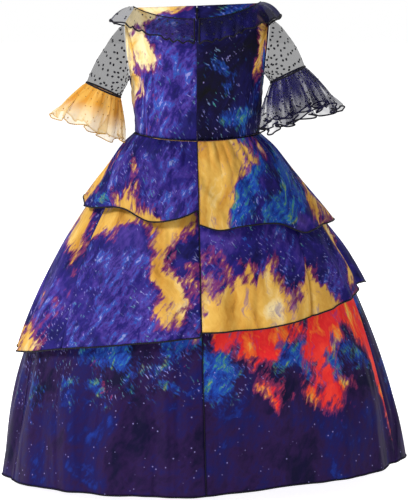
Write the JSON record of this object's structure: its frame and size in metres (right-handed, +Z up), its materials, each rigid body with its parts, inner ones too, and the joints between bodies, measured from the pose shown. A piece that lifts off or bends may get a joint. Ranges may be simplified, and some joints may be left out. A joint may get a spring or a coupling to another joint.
{
  "type": "child's princess costume dress",
  "caption": "Child's costume dress, filled out as worn: ruffle collar, sheer sleeves with bell flounces, and tiers over a full-length skirt.",
  "frame": {"origin": "centre of the wearer's neck, level with the neckline at the centre back", "axes": "+Z up, -Y towards the back of the dress, +X towards its right side as seen from behind"},
  "size_m": [0.8291, 0.6041, 0.958],
  "materials": {
    "printed_satin": "woven satin with a colour-wash print",
    "navy_mesh": "sheer dotted mesh",
    "grey_mesh": "sheer dotted mesh",
    "yellow_mesh": "sheer dotted mesh",
    "zip_tape": "knitted tape",
    "zip_metal": "lacquered"
  },
  "bodies": {
    "dress": {"bodice_front": "printed_satin", "bodice_back_left": "printed_satin", "bodice_back_right": "printed_satin", "collar_left": "navy_mesh", "collar_right": "navy_mesh", "sleeve_left": "grey_mesh", "sleeve_right": "grey_mesh", "flounce_left": "yellow_mesh", "flounce_right": "navy_mesh", "flounce_right_under": "navy_mesh", "first_tier_back_left": "printed_satin", "first_tier_back_right": "printed_satin", "first_tier_front": "printed_satin", "second_tier_back_left": "printed_satin", "second_tier_back_right": "printed_satin", "second_tier_front": "printed_satin", "skirt_back_left": "printed_satin", "skirt_back_right": "printed_satin", "skirt_front": "printed_satin", "zip_tape": "zip_tape", "zip_slider": "zip_metal"},
    "pull_tab": {"zip_pull_tab": "zip_metal"}
  },
  "joints": [
    {"name": "tab_swing", "type": "hinge", "parent": "dress", "child": "pull_tab", "pos_m": [0, -0.08722, -0.00515], "axis": [-1, 0, 0], "range_deg": [0, 160]}
  ]
}
